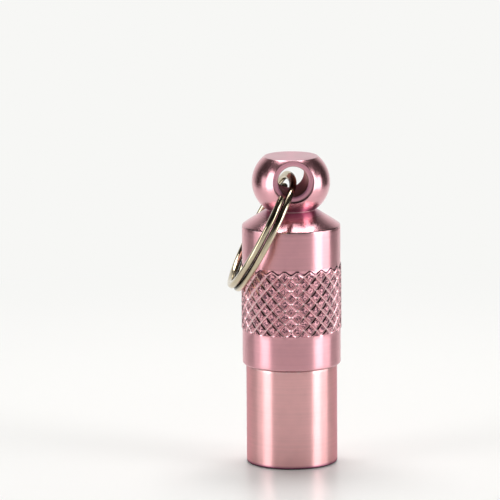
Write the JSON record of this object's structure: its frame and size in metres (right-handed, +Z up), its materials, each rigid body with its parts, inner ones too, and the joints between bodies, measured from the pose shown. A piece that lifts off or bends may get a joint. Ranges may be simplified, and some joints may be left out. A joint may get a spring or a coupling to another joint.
{
  "type": "pet id capsule",
  "caption": "Screw-topped metal capsule on a split ring, with a knurled grip and a ball-shaped eyelet end, which keeps a rolled paper slip dry.",
  "frame": {"origin": "centre of the barrel's flat base, which the capsule stands on", "axes": "+Z up along the capsule towards the ball and its eyelet, Y along the eyelet's hole, with the split ring leaning down on the -X side"},
  "size_m": [0.0139, 0.016, 0.0379],
  "materials": {
    "barrel": "turned and satin, anodised pink",
    "cap": "turned, knurled and polished at the ball, anodised pink",
    "split_ring": "bright nickel plate on hard drawn wire",
    "seal_ring": "moulded black rubber",
    "paper_slip": "white tear-proof paper"
  },
  "bodies": {
    "barrel": {"barrel": "barrel"},
    "seal": {"seal_ring": "seal_ring"},
    "cap": {"cap": "cap"},
    "ring": {"split_ring": "split_ring"},
    "slip": {"paper_slip": "paper_slip"}
  },
  "joints": [
    {"name": "cap_turn", "type": "hinge", "parent": "barrel", "child": "seal", "pos_m": [0, 0, 0.0128], "axis": [0, 0, 1], "range_deg": [0, 1440]},
    {"name": "cap_lift", "type": "slide", "parent": "seal", "child": "cap", "axis": [0, 0, 1], "range_m": [0, 0.0041]},
    {"name": "ring_swing", "type": "hinge", "parent": "cap", "child": "ring", "pos_m": [0, 0, 0.0353], "axis": [0, 1, 0], "range_deg": [0, 300]},
    {"name": "slip_slide", "type": "slide", "parent": "barrel", "child": "slip", "axis": [0, 0, 1], "range_m": [0, 0.003]}
  ],
  "couplings": [
    {"joint": "cap_lift", "follows": "cap_turn", "m_per_rad": 0.00015915}
  ]
}
